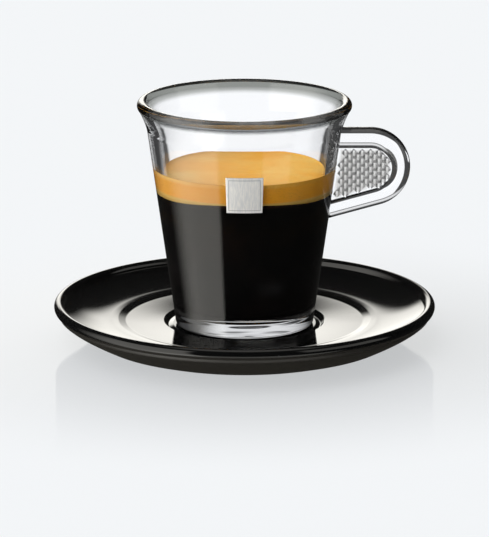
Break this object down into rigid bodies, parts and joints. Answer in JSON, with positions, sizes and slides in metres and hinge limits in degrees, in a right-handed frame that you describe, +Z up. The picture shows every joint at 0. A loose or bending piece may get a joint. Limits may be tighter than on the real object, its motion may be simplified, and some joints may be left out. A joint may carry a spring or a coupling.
{
  "type": "espresso shot",
  "caption": "Espresso shot with a golden crema in a thick clear glass cup with a solid ear handle, standing on a black saucer with a rolled rim.",
  "frame": {"origin": "centre of the saucer's foot ring, on the surface that it stands on", "axes": "+Z up along the common axis of cup and saucer, +X towards the handle, and the square plate faces -Y"},
  "size_m": [0.11, 0.11, 0.0708],
  "materials": {
    "saucer_black": "gloss black",
    "clear_glass": "clear, polished",
    "coffee": "opaque black coffee",
    "crema": "fine golden foam, satin",
    "silver_plate": "brushed silver"
  },
  "bodies": {
    "root": {"saucer": "saucer_black", "cup": "clear_glass", "coffee": "coffee", "crema": "crema", "front_plate": "silver_plate"}
  },
  "joints": []
}
